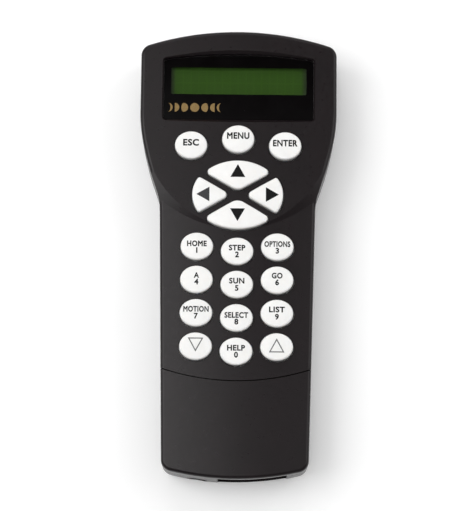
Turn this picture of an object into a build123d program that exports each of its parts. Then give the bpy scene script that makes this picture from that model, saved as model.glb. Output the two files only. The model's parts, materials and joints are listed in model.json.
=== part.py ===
"""Wired hand controller for a motorised telescope mount, built as an assembly of separate pieces.

Frame, in millimetres: +X is to the right of the keypad as it is read, +Y points to the display end
and +Z points out of the face. The controller lies on its back, and the origin is the middle of the
surface that it rests on. Every piece is modelled in place and written to its own STEP file.
"""

from build123d import *
import math
import os

os.makedirs("parts", exist_ok=True)

# ---------------------------------------------------------------- case, driving dimensions
length = 174.0
head_width = 76.0
neck_width = 60.0
heel_width = 55.6
top_arc_radius = 118.0
heel_arc_radius = 104.0
case_corner = 4.5
shoulder_y = (49.0, 35.0, 20.3)  # where the side turns: head, middle of the shoulder, neck
shoulder_x = 35.15
shoulder_radii = [60.0, 118.0, 16.0]

wall = 2.2
parting_z = 14.6
grip_face_z = 24.5
grip_crown_radius = 225.0
head_rise = 0.3
head_apex_z = grip_face_z + head_rise
head_crown_radius = 700.0
face_edge_radius = 1.5
inner_edge_radius = 0.4
back_edge_radius = 6.0
chin_y = 57.0
chin_half_size = (35.8, 47.2)  # of the ellipse whose lower half is the chin's upper edge
chin_run_per_rise = 2.2
chin_depth = 8.0

back_arch_z = 2.4
back_arch_y = (-66.0, -50.0, 4.0, 24.0)
back_arch_radii = [60.0, 110.0, 110.0, 60.0]

seam_radius = 87.0
seam_y = -50.0
seam_gap = 0.35
cover_drop = 0.3  # the heel cover's face sits this much lower than the grip's
tongue_length = 3.6
tongue_root_width = 3.2
tongue_depth = 3.9  # inset of the tongue's inner face
lip_height = 1.4
lip_thickness = 0.9
parting_groove = 0.35  # width and height of the fine groove where front and back pieces meet
fit_gap = 0.12
weld = 0.3  # how far one feature runs into the wall that carries it

# ---------------------------------------------------------------- keypad, driving dimensions
key_size = (12.4, 10.5)
mode_key_size = (12.4, 10.8)
column_pitch = 15.35
row_pitch = 12.85
first_row_y = 1.45
middle_column_drop = 1.9
mode_key_x = 18.1
mode_key_y = 40.9
menu_key_y = 43.4
pad_centre_y = 21.5
pad_half_size = (17.4, 13.4)
pad_half_gap = 1.35
pad_angle = 30.0  # between the pad's crossing gaps and the X axis
upright_key_radii = (4.4, 1.5)  # at the tip and at the two ends of the up and down keys
side_key_radii = (1.6, 0.9)
upright_press_y = 8.7  # where the up and down keys press, from the pad's centre
side_press_x = 11.6
key_height = 2.0
mode_key_height = 2.3
key_hole_gap = 0.45
key_travel = 1.0
key_edge_radius = 0.75
key_dome_radius = 60.0
flange_width = 0.9
plunger_inset = 1.3
plunger_gap = 0.45
collar_width = 1.15

# ---------------------------------------------------------------- heights inside the case
board_bottom_z = parting_z
board_thickness = 1.6
board_top_z = board_bottom_z + board_thickness
contact_film = 0.05
contact_radius = 2.4
contact_split = 0.4
plunger_bottom_z = board_top_z + key_travel + 2 * contact_film
flange_bottom_z = 19.6
flange_top_z = 20.6
mat_top_z = board_top_z + 1.2
collar_top_z = flange_bottom_z - key_travel - 0.2
board_inset = 3.7
board_top_y = 51.5
mat_inset = 4.6
mat_y = (-47.5, 50.0)

# ---------------------------------------------------------------- display, driving dimensions
lens_half_width = 29.0
lens_bottom_y = 51.8
lens_corner_y = 75.8
lens_peak_y = 78.0
lens_corner = 1.0
lens_drop = 0.7
lens_seat_z = 21.9
lens_gap = 0.15
lens_edge_radius = 0.3
rim_flare = 1.1
seat_thickness = 1.2
seat_margin = 1.5
display_y = 67.6
display_window = (53.6, 11.8)
display_frame_size = (57.2, 14.7)
display_glass_size = (55.2, 13.0)
display_frame_sheet = 0.5
display_frame_top_z = lens_seat_z - seat_thickness - 0.1
display_board_top_z = 14.1
display_board_size = (58.6, 22.0)
glass_thickness = 2.2

# ---------------------------------------------------------------- fastenings
case_screw_points = [(-32.4, 74.5), (32.4, 74.5), (-21.6, -63.0), (21.6, -63.0)]
board_screw_points = [(-26.0, 29.0), (26.0, 29.0), (-22.6, -30.8), (22.6, -30.8)]
display_screw_points = [(-27.2, 58.0), (27.2, 58.0), (-24.0, 77.1), (24.0, 77.1)]
boss_radius = 2.9
boss_foot_z = 13.95
boss_root_z = 22.5
board_boss_radius = 2.2
display_boss_radius = 1.9
post_radius = 4.0
post_top_z = 13.9
case_screw_radius = 1.3
case_head_radius = 2.5
case_head_height = 1.8
case_head_seat_z = 6.0
case_screw_tip_z = 20.0
small_screw_radius = 1.0
small_head_radius = 1.9
small_head_height = 1.3
small_screw_length = 5.4
screw_bite = 0.2  # how far a thread stands into its pilot hole's wall
screw_play = 0.3
pilot_play = 0.5  # depth left beyond a screw's tip
boss_play = 0.3  # between a boss and the edge of the board or mat that it passes
recess_width = 0.6

# ---------------------------------------------------------------- sockets in the heel
socket_face_y = -81.6
socket_depth = 14.0
socket_bottom_z = 3.6
plug_floor_z = 6.2
plug_height = 6.8
plug_depth = 12.4
latch_slots = [(6.4, 5.2), (3.4, 4.4)]  # width and floor of each step of the latch's slot
control_socket_x = 13.35
control_socket_width = 15.6
control_plug_width = 11.9
control_contacts = 8
serial_socket_x = -1.15
serial_socket_width = 13.2
serial_plug_width = 9.9
serial_contacts = 6
contact_pitch = 1.02
contact_width = 0.5
contact_leaf = 0.35
contact_drop = 2.3
contact_y = (-78.5, -71.3)  # where a spring contact leaves the ceiling, and where it ends
power_socket_x = -14.4
power_socket_z = 8.1
power_body = (9.0, 12.0, 11.0)
power_nose_radius = 3.9
power_nose_length = 3.8
power_bore_radius = 3.05
power_bore_depth = 10.5
power_pin_radius = 1.05
power_pin_set_back = 0.8
socket_window = (-6.5, 19.7)  # the cut-out in the heel that both modular sockets share
socket_window_z = (3.4, 20.0)
socket_window_corner = 0.8
rib_margin = 1.4  # the rib that closes the window above the sockets reaches this far past its ends
socket_bay_width = 44.4  # the stretch of the heel where the rear shell has no lip
lip_bay_depth = 8.0

# ---------------------------------------------------------------- rating label and electronics
label_size = (44.0, 20.0)
label_y = 48.0
label_corner = 1.5
label_margin = 0.6
label_recess = 0.25
label_thickness = 0.2
lamp_size = (1.2, 2.0, 0.8)
lamp_hole = (1.8, 2.7)
chip_pin_width = 0.45
chip_pin_reach = 0.9
chip_pin_height = 1.0
# name: centre x, centre y, length in x, length in y, height, pins along x sides, pins along y sides
chips = {
    "microcontroller": (0.0, -6.0, 14.0, 14.0, 2.4, 11, 11),
    "memory_chip": (-15.0, 20.0, 5.3, 9.0, 1.9, 0, 7),
    "serial_driver_chip": (-2.0, -57.0, 10.3, 7.5, 2.3, 8, 0),
}
capacitor_points = [(-14.5, -38.0), (14.5, -37.0), (-4.5, -44.0)]
capacitor_size = (3.15, 6.2)
inductor_centre = (12.0, -52.0)
inductor_size = (4.2, 4.4)
inductor_flange = 1.1  # height of each end flange, and how far the winding is set back from them
regulator_centre = (-14.5, -54.0)
regulator_body = (6.6, 6.1, 2.3)
regulator_tab = (5.4, 1.7, 0.5)
regulator_leg = (0.8, 2.1, 0.6)
regulator_leg_pitch = 4.6
crystal_centre = (0.0, 10.0)
crystal_size = (10.8, 4.6, 3.6)
buzzer_centre = (14.0, 26.0)
buzzer_size = (6.0, 4.2)
buzzer_hole_radius = 1.0
resistor_size = (2.0, 1.25, 0.55)
resistors_in_row = 4
resistor_rows = [(-8.0, 30.0), (8.0, -22.0), (-16.0, -20.0)]
ribbon_width = 15.0
ribbon_thickness = 0.3
ribbon_route = [(57.6, 11.5), (54.4, 11.5), (49.4, 13.6), (46.0, 13.6)]  # Y and Z
ribbon_bend = 1.5
connector_size = (18.0, 3.6, 2.0)


def arc_sagitta(radius, half_chord):
    """Depth of an arc of that radius across that half chord."""
    return radius - math.sqrt(radius**2 - half_chord**2)


def save(shape, name):
    """Labels a finished piece and writes it to its own STEP file."""
    shape.label = name
    export_step(shape, f"parts/{name}.step")


# ================================================================ the case's own shapes
def case_outline(inset=0.0):
    """Outline of the case seen from the front: wide head, sloping shoulders and tapering grip."""
    head, neck, heel = head_width / 2, neck_width / 2, heel_width / 2
    top_corner_y = length / 2 - arc_sagitta(top_arc_radius, head)
    heel_corner_y = arc_sagitta(heel_arc_radius, heel) - length / 2
    with BuildSketch() as outline:
        with BuildLine():
            side = FilletPolyline(
                (head, top_corner_y),
                (head, shoulder_y[0]),
                (shoulder_x, shoulder_y[1]),
                (neck, shoulder_y[2]),
                (heel, heel_corner_y),
                radius=shoulder_radii,
            )
            mirror(side, about=Plane.YZ)
            ThreePointArc((-head, top_corner_y), (0, length / 2), (head, top_corner_y))
            ThreePointArc((-heel, heel_corner_y), (0, -length / 2), (heel, heel_corner_y))
        make_face()
        corners = outline.vertices().group_by(Axis.Y)
        fillet(corners[-1] + corners[0], radius=case_corner)
        if inset:
            offset(amount=-inset)
    return outline.sketch


def crown_cylinder(apex_z, radius):
    """A long cylinder along Y whose top line is at apex_z: everything under a crowned face."""
    with BuildPart() as under:
        with Locations((0, 0, apex_z - radius)):
            Cylinder(radius, 2 * length, rotation=(90, 0, 0))
    return under.part


def crowned_block(apex_z, crown_radius, inset, edge_radius):
    """Solid above the parting plane under a face that is crowned from side to side."""
    with BuildPart() as block:
        with BuildSketch(Plane.XY.offset(parting_z)):
            add(case_outline(inset))
        extrude(amount=parting_z)
        add(crown_cylinder(apex_z, crown_radius), mode=Mode.INTERSECT)
        if edge_radius:
            fillet(block.faces().sort_by(Axis.Z)[-1].edges(), radius=edge_radius)
    return block.part


def head_region(inset, top_z):
    """Space over the head: everything above the chin's elliptical, bevelled lower edge."""
    half_x, half_y = chin_half_size
    run = chin_depth * chin_run_per_rise
    with BuildPart() as region:
        with BuildSketch(Plane.XY.offset(top_z)):
            with Locations((0, chin_y)):
                Ellipse(half_x - inset, half_y - inset)
        with BuildSketch(Plane.XY.offset(top_z - chin_depth)):
            with Locations((0, chin_y)):
                Ellipse(half_x - inset + run, half_y - inset + run)
        loft()
        with Locations((0, (chin_y + length) / 2, top_z - chin_depth / 2)):
            Box(2 * head_width, length - chin_y, chin_depth)
    return region.part


def face_block(inset=0.0, edge_radius=0.0, drop=0.0):
    """Solid under the whole front face: the crowned grip, and the flatter, higher head whose
    lower edge is a rounded, bevelled chin below the arrow keys."""
    apex_z = grip_face_z - inset - drop
    with BuildPart() as block:
        add(crowned_block(apex_z + head_rise, head_crown_radius - inset, inset, edge_radius))
        add(head_region(inset, apex_z + 2 * head_rise), mode=Mode.INTERSECT)
        add(crowned_block(apex_z, grip_crown_radius - inset, inset, edge_radius))
    return block.part


def back_block(inset=0.0):
    """Solid behind the parting plane: flat pads under head and heel, a shallow arch between them,
    and a large radius all round the back edge."""
    with BuildPart() as block:
        with BuildSketch(Plane.XY):
            add(case_outline(inset))
        extrude(amount=parting_z)
        with BuildSketch(Plane.YZ):
            with BuildLine():
                floor = FilletPolyline(
                    (-length, inset),
                    (back_arch_y[0], inset),
                    (back_arch_y[1], back_arch_z + inset),
                    (back_arch_y[2], back_arch_z + inset),
                    (back_arch_y[3], inset),
                    (length, inset),
                    radius=back_arch_radii,
                )
                Polyline(floor @ 1, (length, parting_z), (-length, parting_z), floor @ 0)
            make_face()
        extrude(amount=head_width, both=True, mode=Mode.INTERSECT)
        low_edges = [e for e in block.edges() if e.bounding_box().max.Z < back_arch_z + inset + 0.1]
        rim = [e for e in low_edges if abs((e @ 0.5).X) > heel_width / 3 or abs((e @ 0.5).Y) > 0.45 * length]
        fillet(rim, radius=back_edge_radius - inset)
    return block.part


def seam_cylinder(radius):
    """The round part of the face above the seam, as a tall solid cylinder."""
    with BuildPart() as region:
        with Locations((0, seam_y + seam_radius, parting_z)):
            Cylinder(radius, 4 * parting_z)
    return region.part


def band_beside_seam(inner, outer):
    """A tall band between two distances beyond the seam, over the heel half of the case only."""
    with BuildPart() as band:
        with BuildSketch(Plane.XY.offset(parting_z + lip_height + weld)):
            with Locations((0, seam_y + seam_radius)):
                Circle(seam_radius + outer)
                Circle(seam_radius + inner, mode=Mode.SUBTRACT)
            with Locations((0, length / 2)):
                Rectangle(4 * head_width, length, mode=Mode.SUBTRACT)
        extrude(amount=parting_z)
    return band.part


def ring_between(outer_inset, inner_inset, low_z, high_z):
    """Wall that follows the case outline between two insets."""
    with BuildPart() as ring:
        with BuildSketch(Plane.XY.offset(low_z)):
            add(case_outline(outer_inset))
            add(case_outline(inner_inset), mode=Mode.SUBTRACT)
        extrude(amount=high_z - low_z)
    return ring.part


def discs(points, radius, low_z, high_z):
    """Round posts, or the tools for round holes, at several points."""
    with BuildPart() as posts:
        with BuildSketch(Plane.XY.offset(low_z)):
            with Locations(*points):
                Circle(radius)
        extrude(amount=high_z - low_z)
    return posts.part


# ================================================================ outlines of keys and lens
def oval_key(size, grow=0.0):
    """Plan of an oval key, made larger all round by grow."""
    with BuildSketch() as plan:
        Ellipse(size[0] / 2 + grow, size[1] / 2 + grow)
    return plan.sketch


def arrow_key(sideways, grow=0.0):
    """Plan of one arrow key, pointing to +Y with the pad's centre at the origin: a sector of the
    pad's oval between its crossing gaps, with rounded corners. The sideways keys are slimmer."""
    half_angle = math.radians(pad_angle if sideways else 90 - pad_angle)
    across, along = reversed(pad_half_size) if sideways else pad_half_size
    tip_radius, end_radius = side_key_radii if sideways else upright_key_radii
    tip = pad_half_gap / math.sin(half_angle)
    # how far along its straight side a key runs before it meets the oval
    square = (math.sin(half_angle) / across) ** 2 + (math.cos(half_angle) / along) ** 2
    linear = tip * math.cos(half_angle) / along**2
    run = (math.sqrt(linear**2 - square * ((tip / along) ** 2 - 1)) - linear) / square
    end_x = run * math.sin(half_angle)
    end_y = tip + run * math.cos(half_angle)
    with BuildSketch() as plan:
        with BuildLine():
            Polyline((end_x, end_y), (0, tip), (-end_x, end_y))
            ThreePointArc((-end_x, end_y), (0, along), (end_x, end_y))
        make_face()
        corners = plan.vertices().group_by(Axis.Y)
        fillet(corners[0], radius=tip_radius)
        fillet(plan.vertices().group_by(Axis.Y)[-1], radius=end_radius)
        if grow:
            offset(amount=grow)
    return plan.sketch


def lens_outline(grow=0.0):
    """Plan of the display lens: square below, arched along the top."""
    half = lens_half_width + grow
    with BuildSketch() as plan:
        with BuildLine():
            Polyline(
                (-half, lens_corner_y + grow / 2),
                (-half, lens_bottom_y - grow),
                (half, lens_bottom_y - grow),
                (half, lens_corner_y + grow / 2),
            )
            ThreePointArc(
                (half, lens_corner_y + grow / 2), (0, lens_peak_y + grow), (-half, lens_corner_y + grow / 2)
            )
        make_face()
        fillet(plan.vertices(), radius=lens_corner + grow)
    return plan.sketch


def face_z(x, on_head):
    """Height of the front face at that distance from the centre line."""
    if on_head:
        return grip_face_z + head_rise - x**2 / (2 * head_crown_radius)
    return grip_face_z - x**2 / (2 * grip_crown_radius)


def keypad_layout():
    """Every key as (name, plan function, centre, angle, point that it presses, height of its top)."""
    keys = []
    for name, x, y in (
        ("esc_key", -mode_key_x, mode_key_y),
        ("menu_key", 0.0, menu_key_y),
        ("enter_key", mode_key_x, mode_key_y),
    ):
        plan = lambda grow=0.0: oval_key(mode_key_size, grow)
        keys.append((name, plan, (x, y), 0, (x, y), face_z(x, True) + mode_key_height))
    for name, sideways, angle, press_x, press_y in (
        ("up_arrow_key", False, 0, 0.0, upright_press_y),
        ("down_arrow_key", False, 180, 0.0, -upright_press_y),
        ("right_arrow_key", True, -90, side_press_x, 0.0),
        ("left_arrow_key", True, 90, -side_press_x, 0.0),
    ):
        plan = lambda grow=0.0, sideways=sideways: arrow_key(sideways, grow)
        press_point = (press_x, pad_centre_y + press_y)
        keys.append((name, plan, (0.0, pad_centre_y), angle, press_point, head_apex_z + mode_key_height))
    rows = (
        ("number_1_key", "number_2_key", "number_3_key"),
        ("number_4_key", "number_5_key", "number_6_key"),
        ("number_7_key", "number_8_key", "number_9_key"),
        ("scroll_down_key", "number_0_key", "scroll_up_key"),
    )
    for row, names in enumerate(rows):
        for column, name in zip((-1, 0, 1), names):
            x = column * column_pitch
            y = first_row_y - row * row_pitch - (0 if column else middle_column_drop)
            plan = lambda grow=0.0: oval_key(key_size, grow)
            keys.append((name, plan, (x, y), 0, (x, y), face_z(x, False) + key_height))
    return keys


def key_plans(grow):
    """The plans of all the keys, in place, made larger by grow."""
    with BuildSketch() as plans:
        for _, plan, centre, angle, _, _ in keypad_layout():
            with Locations(Location((centre[0], centre[1], 0), (0, 0, angle))):
                add(plan(grow))
    return plans.sketch


def plans_prism(grow, low_z, high_z):
    """A prism on every key's plan."""
    with BuildPart() as prism:
        with BuildSketch(Plane.XY.offset(low_z)):
            add(key_plans(grow))
        extrude(amount=high_z - low_z)
    return prism.part


# ================================================================ front shell and heel cover
head_screws = [point for point in case_screw_points if point[1] > 0]
heel_screws = [point for point in case_screw_points if point[1] < 0]
pilot_radius = case_screw_radius - screw_bite
small_pilot_radius = small_screw_radius - screw_bite
case_pilot_top_z = case_screw_tip_z + pilot_play
board_pilot_top_z = board_bottom_z + small_screw_length + pilot_play
display_board_bottom_z = display_board_top_z - board_thickness
display_pilot_top_z = display_board_bottom_z + small_screw_length + pilot_play

# the tongue that the heel cover laps over: its root sits inside the shell, its end under the cover
tongue_floor = face_block(tongue_depth)
tongue_root = band_beside_seam(-tongue_root_width, -seam_gap / 2) & (face_block(wall - weld) - tongue_floor)
tongue_end = band_beside_seam(-tongue_root_width / 4, tongue_length) & (
    face_block(wall + cover_drop + fit_gap) - tongue_floor
)
groove = ring_between(-weld, parting_groove, parting_z - weld, parting_z + parting_groove)

with BuildPart() as front_shell:
    add(face_block(0.0, face_edge_radius))
    add(face_block(wall, inner_edge_radius), mode=Mode.SUBTRACT)
    add(seam_cylinder(seam_radius - seam_gap / 2), mode=Mode.INTERSECT)
    add(groove, mode=Mode.SUBTRACT)
    add(tongue_root)
    add(tongue_end)
    # the plate that seats the lens and hides the display's frame
    with BuildSketch(Plane.XY.offset(lens_seat_z - seat_thickness)):
        add(lens_outline(seat_margin))
    extrude(amount=seat_thickness + lens_drop)
    # bosses for the case screws, the board screws and the display screws, each with its pilot hole
    add(discs(head_screws, boss_radius, boss_foot_z, boss_root_z))
    add(discs(board_screw_points, board_boss_radius, board_top_z, boss_root_z))
    add(discs(display_screw_points, display_boss_radius, display_board_top_z, lens_seat_z - weld))
    add(discs(head_screws, pilot_radius, boss_foot_z, case_pilot_top_z), mode=Mode.SUBTRACT)
    add(discs(board_screw_points, small_pilot_radius, board_top_z, board_pilot_top_z), mode=Mode.SUBTRACT)
    display_pilots = discs(display_screw_points, small_pilot_radius, display_board_top_z, display_pilot_top_z)
    add(display_pilots, mode=Mode.SUBTRACT)
    # the lens pocket, its flared rim and the display window
    with BuildSketch(Plane.XY.offset(lens_seat_z)):
        add(lens_outline(lens_gap))
    extrude(amount=parting_z, mode=Mode.SUBTRACT)
    with BuildSketch(Plane.XY.offset(head_apex_z - rim_flare)):
        add(lens_outline(lens_gap))
    with BuildSketch(Plane.XY.offset(head_apex_z + 2 * rim_flare)):
        add(lens_outline(lens_gap + 3 * rim_flare))
    loft(mode=Mode.SUBTRACT)
    with Locations((0, display_y, lens_seat_z)):
        Box(*display_window, 3 * seat_thickness, mode=Mode.SUBTRACT)
    add(plans_prism(key_hole_gap, flange_bottom_z, 2 * flange_bottom_z), mode=Mode.SUBTRACT)
save(front_shell.part, "front_shell")

window_width = socket_window[1] - socket_window[0]
window_height = socket_window_z[1] - socket_window_z[0]
window_x = sum(socket_window) / 2
with BuildPart() as window_tool:
    with Locations((window_x, -length / 2, sum(socket_window_z) / 2)):
        Box(window_width, 4 * wall, window_height)
    fillet(window_tool.edges().filter_by(Axis.Y), radius=socket_window_corner)

with BuildPart() as rib_space:
    with Locations((window_x, -length / 2, parting_z + fit_gap + grip_face_z / 2)):
        Box(window_width + 2 * rib_margin, 2 * lip_bay_depth, grip_face_z)
window_rib = ring_between(wall - weld, board_inset - fit_gap, parting_z + fit_gap, grip_face_z) & rib_space.part
window_rib = window_rib & face_block(wall - weld, drop=cover_drop)

with BuildPart() as lower_front_cover:
    add(face_block(0.0, face_edge_radius, cover_drop))
    add(face_block(wall, inner_edge_radius, cover_drop), mode=Mode.SUBTRACT)
    add(seam_cylinder(seam_radius + seam_gap / 2), mode=Mode.SUBTRACT)
    add(groove, mode=Mode.SUBTRACT)
    # the upper part of the socket window, closed behind by a rib
    add(window_tool.part, mode=Mode.SUBTRACT)
    add(window_rib)
    add(discs(heel_screws, boss_radius, boss_foot_z, boss_root_z))
    add(discs(heel_screws, pilot_radius, boss_foot_z, case_pilot_top_z), mode=Mode.SUBTRACT)
save(lower_front_cover.part, "lower_front_cover")

# ================================================================ rear shell
back_solid = back_block(0.0)
back_space = back_block(wall)
lip_inset = wall + fit_gap + lip_thickness
with BuildPart() as socket_bay:
    with Locations((0, -length / 2, parting_z)):
        Box(socket_bay_width, 2 * lip_bay_depth, 4 * lip_height + 2 * weld)
lip_root = ring_between(wall - weld, lip_inset, parting_z - 2 * lip_height, parting_z) - socket_bay.part
lip = ring_between(wall + fit_gap, lip_inset, parting_z - weld, parting_z + lip_height) - socket_bay.part
posts = discs(case_screw_points, post_radius, wall / 2, post_top_z) & back_solid

with BuildPart() as rear_shell:
    add(back_solid)
    add(back_space, mode=Mode.SUBTRACT)
    # the lip that stands up inside the front shell, left out behind the sockets
    add(lip_root)
    add(lip)
    # posts for the case screws, each with a deep counterbore from behind
    add(posts)
    add(discs(case_screw_points, case_head_radius + screw_play, -wall, case_head_seat_z), mode=Mode.SUBTRACT)
    add(discs(case_screw_points, case_screw_radius + screw_play, 0, parting_z), mode=Mode.SUBTRACT)
    add(discs(case_screw_points, boss_radius + boss_play, post_top_z, 2 * parting_z), mode=Mode.SUBTRACT)
    # the window for the two sockets, and the round hole for the power socket's nose
    add(window_tool.part, mode=Mode.SUBTRACT)
    with BuildSketch(Plane.XZ.offset(-socket_face_y)):
        with Locations((power_socket_x, power_socket_z)):
            Circle(power_nose_radius + lens_gap)
    extrude(amount=4 * wall, mode=Mode.SUBTRACT)
    # the shallow recess for the rating label
    with Locations((0, label_y, 0)):
        Box(label_size[0] + label_margin, label_size[1] + label_margin, 2 * label_recess, mode=Mode.SUBTRACT)
save(rear_shell.part, "rear_shell")

with BuildPart() as rear_label:
    with BuildSketch(Plane.XY.offset(label_recess - label_thickness)):
        with Locations((0, label_y)):
            RectangleRounded(*label_size, label_corner)
    extrude(amount=label_thickness)
save(rear_label.part, "rear_label")

# ================================================================ display
with BuildPart() as display_lens:
    with BuildSketch(Plane.XY.offset(lens_seat_z)):
        add(lens_outline())
    extrude(amount=parting_z)
    add(crown_cylinder(head_apex_z - lens_drop, head_crown_radius - lens_drop), mode=Mode.INTERSECT)
    rim = display_lens.edges().filter_by(lambda e: e.bounding_box().min.Z > lens_seat_z + lens_drop)
    fillet(rim, radius=lens_edge_radius)
save(display_lens.part, "display_lens")

with BuildPart() as lcd_frame:
    with Locations((0, display_y, (display_board_top_z + display_frame_top_z) / 2)):
        Box(*display_frame_size, display_frame_top_z - display_board_top_z)
    with Locations((0, display_y, display_board_top_z)):
        Box(
            display_frame_size[0] - 2 * display_frame_sheet,
            display_frame_size[1] - 2 * display_frame_sheet,
            2 * (display_frame_top_z - display_frame_sheet - display_board_top_z),
            mode=Mode.SUBTRACT,
        )
    opening = (display_window[0] + fit_gap, display_window[1] + fit_gap)
    with Locations((0, display_y, display_frame_top_z)):
        Box(*opening, 4 * display_frame_sheet, mode=Mode.SUBTRACT)
save(lcd_frame.part, "lcd_frame")

glass_top_z = display_frame_top_z - display_frame_sheet
with BuildPart() as lcd_glass:
    with Locations((0, display_y, glass_top_z - glass_thickness / 2)):
        Box(*display_glass_size, glass_thickness)
save(lcd_glass.part, "lcd_glass")

backlight_height = glass_top_z - glass_thickness - display_board_top_z
with BuildPart() as lcd_backlight:
    with Locations((0, display_y, display_board_top_z + backlight_height / 2)):
        Box(*display_glass_size, backlight_height)
    fillet(lcd_backlight.edges().filter_by(Axis.Z), radius=lens_corner)
save(lcd_backlight.part, "lcd_backlight")

with BuildPart() as lcd_board:
    with BuildSketch(Plane.XY.offset(display_board_bottom_z)):
        with Locations((0, display_y)):
            Rectangle(*display_board_size)
        with Locations(*head_screws):
            Circle(post_radius + screw_play, mode=Mode.SUBTRACT)
        with Locations(*display_screw_points):
            Circle(small_screw_radius + fit_gap, mode=Mode.SUBTRACT)
    extrude(amount=board_thickness)
save(lcd_board.part, "lcd_board")

# ================================================================ main board and keypad mat
with BuildPart() as main_board:
    with BuildSketch(Plane.XY.offset(board_bottom_z)):
        add(case_outline(board_inset))
        with Locations((0, board_top_y + length / 2)):
            Rectangle(2 * head_width, length, mode=Mode.SUBTRACT)
        with Locations(*heel_screws):
            Circle(boss_radius + boss_play, mode=Mode.SUBTRACT)
        with Locations(*board_screw_points):
            Circle(small_screw_radius + fit_gap, mode=Mode.SUBTRACT)
    extrude(amount=board_thickness)
save(main_board.part, "main_board")

lamp_points = [
    (side * column_pitch / 2, first_row_y - row * row_pitch) for side in (-1, 1) for row in range(4)
]
mat_height = mat_y[1] - mat_y[0]
with BuildPart() as keypad_mat:
    with BuildSketch(Plane.XY.offset(board_top_z)):
        with Locations((0, (mat_y[0] + mat_y[1]) / 2)):
            Rectangle(head_width, mat_height)
        add(case_outline(mat_inset), mode=Mode.INTERSECT)
        with Locations(*board_screw_points):
            Circle(board_boss_radius + boss_play, mode=Mode.SUBTRACT)
        with Locations(*lamp_points):
            Rectangle(*lamp_hole, mode=Mode.SUBTRACT)
    extrude(amount=mat_top_z - board_top_z)
    add(plans_prism(collar_width + plunger_gap - plunger_inset, mat_top_z - weld, collar_top_z))
    add(plans_prism(plunger_gap - plunger_inset, 0, parting_z + collar_top_z), mode=Mode.SUBTRACT)
save(keypad_mat.part, "keypad_mat")

with BuildPart() as key_lamps:
    with Locations(*[(x, y, board_top_z + lamp_size[2] / 2) for x, y in lamp_points]):
        Box(*lamp_size)
save(key_lamps.part, "key_lamps")

with BuildPart() as key_contacts:
    with BuildSketch(Plane.XY.offset(board_top_z)):
        with Locations(*[press_point for _, _, _, _, press_point, _ in keypad_layout()]):
            Circle(contact_radius)
            Rectangle(contact_split, 2 * contact_radius, mode=Mode.SUBTRACT)
    extrude(amount=contact_film)
save(key_contacts.part, "key_contacts")

# ================================================================ keys
for name, plan, centre, angle, press_point, top_z in keypad_layout():
    place = Location((centre[0], centre[1], 0), (0, 0, angle))
    with BuildPart() as key:
        with BuildSketch(Plane.XY.offset(flange_bottom_z)):
            with Locations(place):
                add(plan())
        extrude(amount=parting_z)
        with Locations((*press_point, top_z - key_dome_radius)):
            Sphere(key_dome_radius, mode=Mode.INTERSECT)
        rim = key.edges().filter_by(lambda e: e.bounding_box().min.Z > flange_top_z)
        fillet(rim, radius=key_edge_radius)
        with BuildSketch(Plane.XY.offset(flange_bottom_z)):
            with Locations(place):
                add(plan(flange_width))
        extrude(amount=flange_top_z - flange_bottom_z)
        with BuildSketch(Plane.XY.offset(plunger_bottom_z)):
            with Locations(place):
                add(plan(-plunger_inset))
        extrude(amount=flange_top_z - plunger_bottom_z)
    save(key.part, name)

# ================================================================ sockets
def modular_socket(x, width, plug_width):
    """Housing of a modular socket, open towards the heel, with a stepped slot for the plug's latch."""
    back_y = socket_face_y + socket_depth
    mouth_y = socket_face_y + plug_depth / 2
    with BuildPart() as housing:
        with Locations((x, (socket_face_y + back_y) / 2, (socket_bottom_z + board_bottom_z) / 2)):
            Box(width, socket_depth, board_bottom_z - socket_bottom_z)
        with Locations((x, mouth_y, plug_floor_z + plug_height / 2)):
            Box(plug_width, plug_depth, plug_height, mode=Mode.SUBTRACT)
        for slot_width, slot_floor_z in latch_slots:
            with Locations((x, mouth_y, (slot_floor_z + plug_floor_z) / 2)):
                Box(slot_width, plug_depth, plug_floor_z - slot_floor_z, mode=Mode.SUBTRACT)
    return housing.part


def spring_contacts(x, count):
    """A row of sprung contact leaves that slope down from the ceiling of a modular socket."""
    ceiling_z = plug_floor_z + plug_height
    start_y, end_y = contact_y
    with BuildPart() as leaves:
        for index in range(count):
            leaf_x = x + (index - (count - 1) / 2) * contact_pitch - contact_width / 2
            with BuildSketch(Plane.YZ.offset(leaf_x)):
                with BuildLine():
                    Polyline(
                        (start_y, ceiling_z),
                        (start_y + 2 * contact_leaf, ceiling_z),
                        (end_y, ceiling_z - contact_drop + contact_leaf),
                        (end_y, ceiling_z - contact_drop),
                        close=True,
                    )
                make_face()
            extrude(amount=contact_width)
    return leaves.part


with BuildPart() as hand_control_socket:
    add(modular_socket(control_socket_x, control_socket_width, control_plug_width))
save(hand_control_socket.part, "hand_control_socket")

with BuildPart() as hand_control_contacts:
    add(spring_contacts(control_socket_x, control_contacts))
save(hand_control_contacts.part, "hand_control_contacts")

with BuildPart() as serial_socket:
    add(modular_socket(serial_socket_x, serial_socket_width, serial_plug_width))
save(serial_socket.part, "serial_socket")

with BuildPart() as serial_socket_contacts:
    add(spring_contacts(serial_socket_x, serial_contacts))
save(serial_socket_contacts.part, "serial_socket_contacts")

power_face_y = socket_face_y - power_nose_length
power_floor_y = power_face_y + power_bore_depth
with BuildPart() as power_socket:
    body_centre = (power_socket_x, socket_face_y + power_body[1] / 2, board_bottom_z - power_body[2] / 2)
    with Locations(body_centre):
        Box(*power_body)
    with BuildSketch(Plane.XZ.offset(-socket_face_y)):
        with Locations((power_socket_x, power_socket_z)):
            Circle(power_nose_radius)
    extrude(amount=power_nose_length)
    with BuildSketch(Plane.XZ.offset(-power_floor_y)):
        with Locations((power_socket_x, power_socket_z)):
            Circle(power_bore_radius)
    extrude(amount=power_bore_depth, mode=Mode.SUBTRACT)
save(power_socket.part, "power_socket")

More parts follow.
